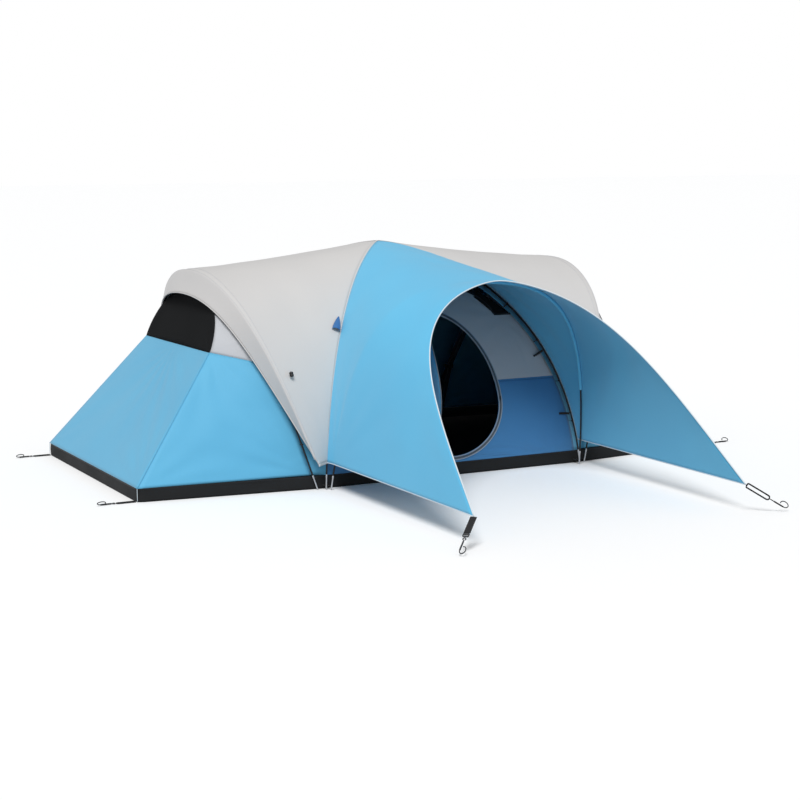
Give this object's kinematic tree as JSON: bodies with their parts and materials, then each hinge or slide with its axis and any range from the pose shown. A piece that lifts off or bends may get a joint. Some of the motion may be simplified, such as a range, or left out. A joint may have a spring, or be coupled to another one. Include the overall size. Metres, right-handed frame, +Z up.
{
  "type": "tunnel tent",
  "caption": "Family tunnel tent with a domed middle on crossed poles, an arched bay at each end, a winged porch over a round doorway and a tub floor.",
  "frame": {"origin": "middle of the floor's underside, on the ground", "axes": "+X along the floor to the right bay, -Y out through the doorway and porch, +Z up"},
  "size_m": [5.5832, 5.122, 1.7501],
  "materials": {
    "blue_fabric": "coated plain-weave polyester, satin",
    "grey_fabric": "coated plain-weave polyester, satin",
    "tub_fabric": "woven polyethylene, dull",
    "mesh_fabric": "fine insect mesh, matt",
    "curtain_fabric": "thin breathable polyester, matt",
    "fibreglass": "black fibreglass rod, smooth",
    "steel_tip": "plated steel pin",
    "wire_hook": "dark twisted wire",
    "black_webbing": "woven webbing and elastic",
    "black_plastic": "moulded nylon"
  },
  "bodies": {
    "tent": {"arc_pole_left": "fibreglass", "arc_pole_right": "fibreglass", "back_wall_lower": "blue_fabric", "back_wall_upper": "grey_fabric", "corner_loop_back_left": "black_webbing", "corner_loop_back_right": "black_webbing", "corner_loop_front_left": "black_webbing", "corner_loop_front_right": "black_webbing", "cross_pole_a": "fibreglass", "cross_pole_b": "fibreglass", "curtain_tie": "black_webbing", "divider_curtain": "curtain_fabric", "floor_tub": "tub_fabric", "fly_back": "blue_fabric", "fly_front": "blue_fabric", "fly_left": "grey_fabric", "fly_right": "grey_fabric", "front_wall_lower": "blue_fabric", "front_wall_upper": "grey_fabric", "inner_roof_left": "blue_fabric", "inner_roof_right": "blue_fabric", "porch_pole": "fibreglass", "roof_mesh_back": "mesh_fabric", "roof_mesh_front": "mesh_fabric", "tip_arc_back_left": "steel_tip", "tip_arc_back_right": "steel_tip", "tip_arc_front_left": "steel_tip", "tip_arc_front_right": "steel_tip", "tip_cross_back_left": "steel_tip", "tip_cross_back_right": "steel_tip", "tip_cross_front_left": "steel_tip", "tip_cross_front_right": "steel_tip", "tip_porch_left": "steel_tip", "tip_porch_right": "steel_tip", "wall_lower_left": "blue_fabric", "wall_lower_right": "blue_fabric", "wall_upper_left": "grey_fabric", "wall_upper_right": "grey_fabric", "window_left": "mesh_fabric", "window_right": "mesh_fabric", "wing_left": "blue_fabric", "wing_loop_right": "black_webbing", "wing_right": "blue_fabric", "wing_strap_left": "black_webbing"},
    "door": {"door_panel": "blue_fabric"},
    "slider": {"zip_slider": "black_plastic"},
    "hood_left": {"vent_hood_left": "blue_fabric"},
    "hood_right": {"vent_hood_right": "blue_fabric"},
    "lock_left": {"cord_lock_left": "black_plastic"},
    "lock_right": {"cord_lock_right": "black_plastic"},
    "buckle": {"ladder_lock": "black_plastic"},
    "hookbody_back_left": {"hook_back_left": "wire_hook"},
    "hookbody_back_right": {"hook_back_right": "wire_hook"},
    "hookbody_front_left": {"hook_front_left": "wire_hook"},
    "hookbody_front_right": {"hook_front_right": "wire_hook"},
    "hookbody_wing_left": {"hook_wing_left": "wire_hook"},
    "hookbody_wing_right": {"hook_wing_right": "wire_hook"}
  },
  "joints": [
    {"name": "door_swing", "type": "hinge", "parent": "tent", "child": "door", "pos_m": [-0.472, -1.19531, 0.6785], "axis": [0, 0.3798, 0.9251], "range_deg": [-2, 94]},
    {"name": "zip_run", "type": "hinge", "parent": "tent", "child": "slider", "pos_m": [0, -1.20524, 0.56], "axis": [0, -0.9629, 0.27], "range_deg": [-4, 22]},
    {"name": "hood_left_flap", "type": "hinge", "parent": "tent", "child": "hood_left", "pos_m": [-0.79083, -0.91323, 1.24749], "axis": [-0.893, 0.2476, 0.3757], "range_deg": [0, 25]},
    {"name": "hood_right_flap", "type": "hinge", "parent": "tent", "child": "hood_right", "pos_m": [0.79083, -0.91323, 1.24749], "axis": [-0.893, -0.2476, -0.3757], "range_deg": [0, 25]},
    {"name": "lock_left_slide", "type": "slide", "parent": "tent", "child": "lock_left", "axis": [0.039, -0.4668, -0.8835], "range_m": [0, 0.03]},
    {"name": "lock_right_slide", "type": "slide", "parent": "tent", "child": "lock_right", "axis": [-0.039, -0.4668, -0.8835], "range_m": [0, 0.03]},
    {"name": "buckle_slide", "type": "slide", "parent": "tent", "child": "buckle", "axis": [-0.644, -0.541, -0.541], "range_m": [0, 0.012]},
    {"name": "hook_back_left_lift", "type": "hinge", "parent": "tent", "child": "hookbody_back_left", "pos_m": [-2.664, 1.1, 0.0045], "axis": [0, 1, 0], "range_deg": [0, 75]},
    {"name": "hook_back_right_lift", "type": "hinge", "parent": "tent", "child": "hookbody_back_right", "pos_m": [2.664, 1.1, 0.0045], "axis": [0, -1, 0], "range_deg": [0, 75]},
    {"name": "hook_front_left_lift", "type": "hinge", "parent": "tent", "child": "hookbody_front_left", "pos_m": [-2.664, -1.1, 0.0045], "axis": [0, 1, 0], "range_deg": [0, 75]},
    {"name": "hook_front_right_lift", "type": "hinge", "parent": "tent", "child": "hookbody_front_right", "pos_m": [2.664, -1.1, 0.0045], "axis": [0, -1, 0], "range_deg": [0, 75]},
    {"name": "hook_wing_left_lift", "type": "hinge", "parent": "buckle", "child": "hookbody_wing_left", "pos_m": [-1.20373, -3.60181, 0.08619], "axis": [-0.6432, 0.7657, 0], "range_deg": [0, 75]},
    {"name": "hook_wing_right_lift", "type": "hinge", "parent": "tent", "child": "hookbody_wing_right", "pos_m": [1.2405, -3.56459, 0.08433], "axis": [-0.3976, -0.9176, 0], "range_deg": [0, 75]}
  ]
}
